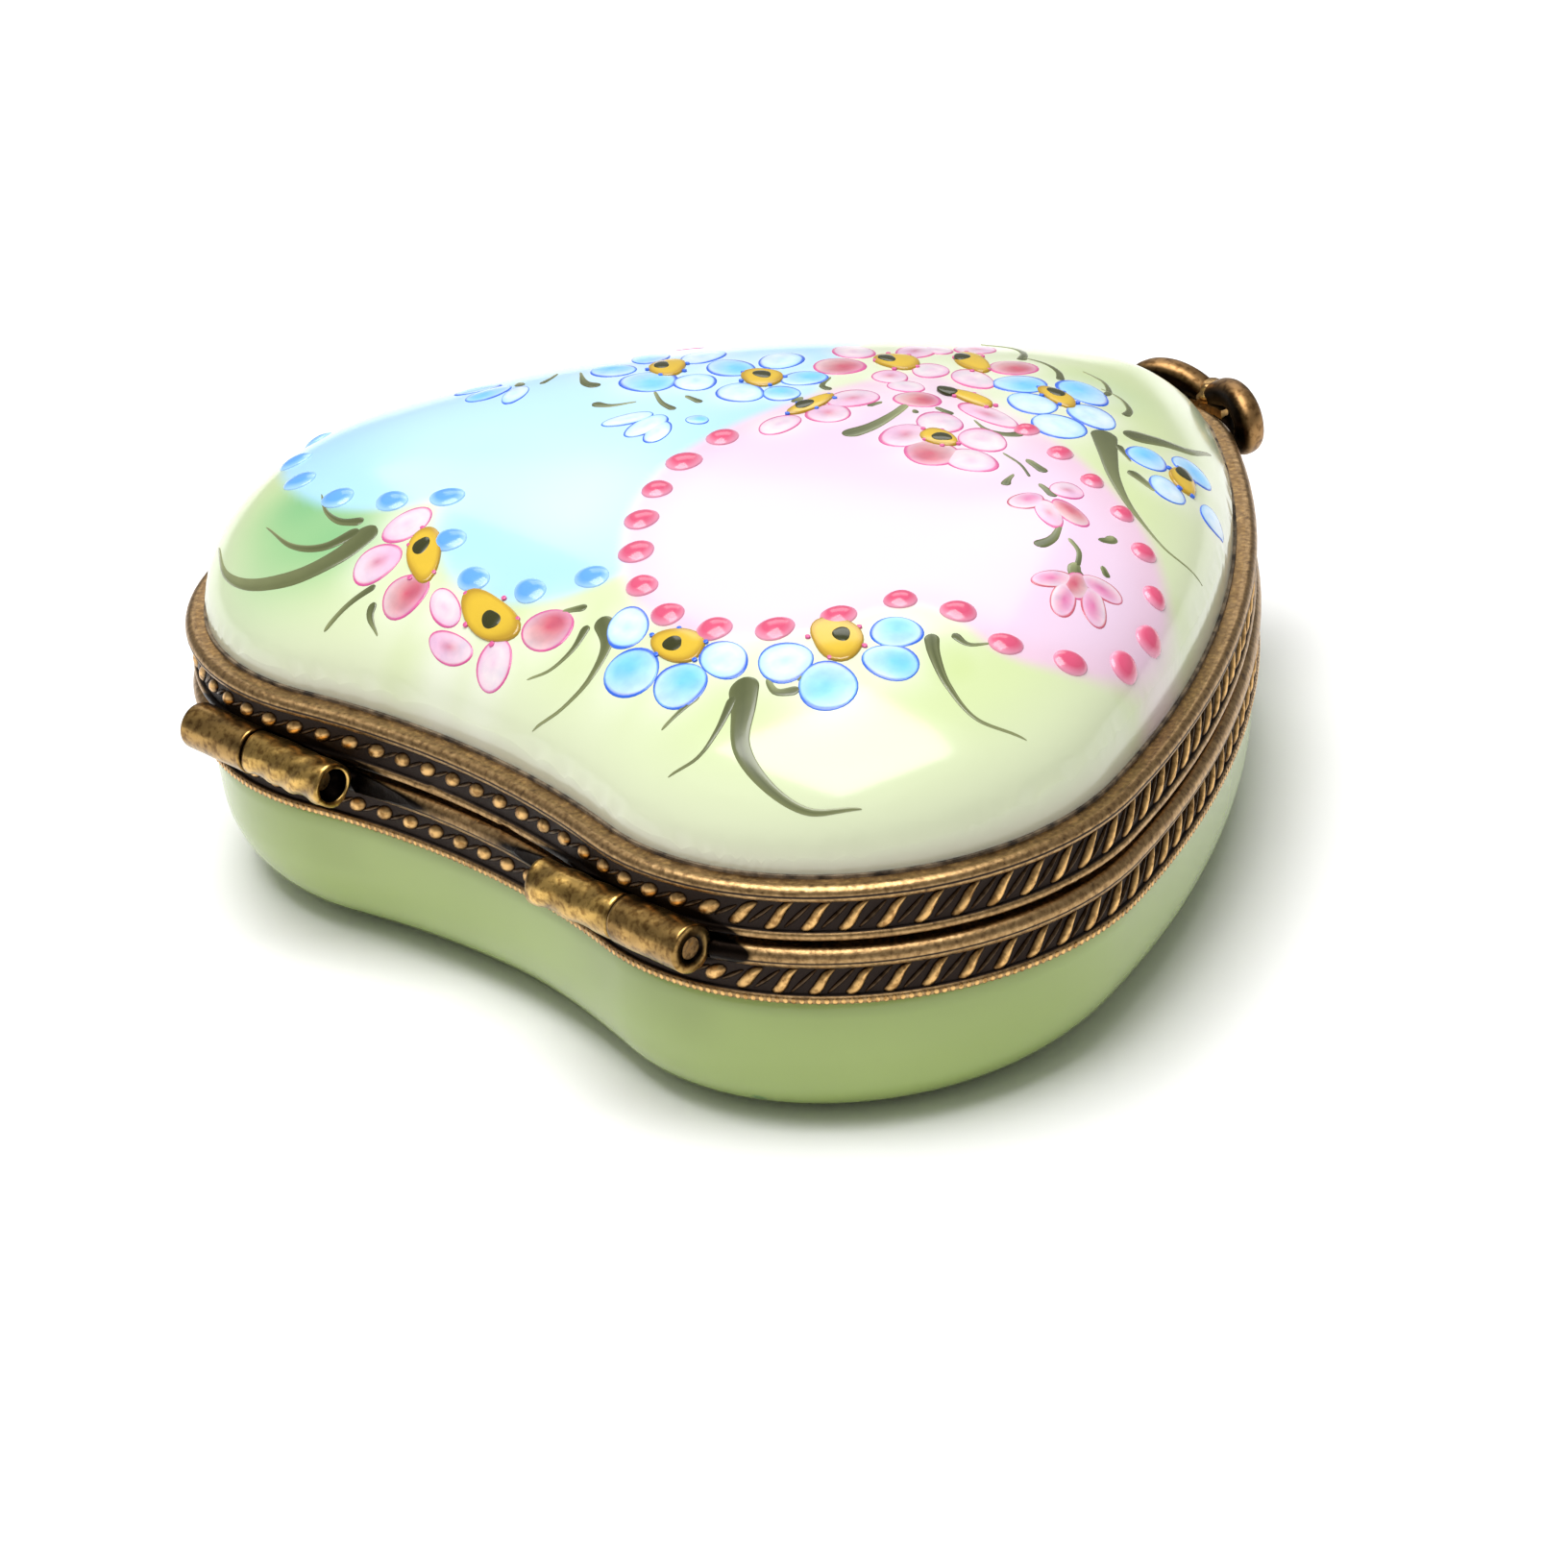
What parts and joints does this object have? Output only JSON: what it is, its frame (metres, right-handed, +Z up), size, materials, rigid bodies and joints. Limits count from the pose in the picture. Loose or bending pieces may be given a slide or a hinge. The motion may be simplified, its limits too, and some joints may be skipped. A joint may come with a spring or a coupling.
{
  "type": "porcelain trinket box",
  "caption": "Small heart-shaped hinged porcelain box with a domed painted lid, patterned brass rims and a bow-shaped clasp.",
  "frame": {"origin": "on the resting plane, below the middle of the bounding box", "axes": "+Z up, -Y to the front where the clasp is, on the tip of the heart; the hinge axis lies along X at the rear"},
  "size_m": [0.0528, 0.0514, 0.02],
  "materials": {
    "celadon_porcelain": "glossy",
    "painted_porcelain": "glossy",
    "plain_brass": "satin",
    "patinated_brass": "patinated",
    "worn_brass": "worn",
    "hinge_wire": "satin",
    "rim_cement": "matte"
  },
  "bodies": {
    "base": {"base_shell": "celadon_porcelain", "base_rim_channel": "plain_brass", "base_gallery_strip": "patinated_brass", "base_cement": "rim_cement", "base_knuckle_left": "worn_brass", "base_knuckle_right": "worn_brass", "hinge_pin_left": "hinge_wire", "hinge_pin_right": "hinge_wire", "clasp_catch_bead": "worn_brass"},
    "lid": {"lid_shell": "painted_porcelain", "lid_rim_channel": "plain_brass", "lid_gallery_strip": "patinated_brass", "lid_cement": "rim_cement", "lid_knuckle_left": "worn_brass", "lid_knuckle_right": "worn_brass", "clasp_tongue": "worn_brass", "clasp_bow_knot": "worn_brass", "clasp_bow_loop_left": "worn_brass", "clasp_bow_loop_right": "worn_brass"}
  },
  "joints": [
    {"name": "lid_hinge", "type": "hinge", "parent": "base", "child": "lid", "pos_m": [0, 0.02466, 0.00945], "axis": [-1, 0, 0], "range_deg": [0, 100]}
  ]
}
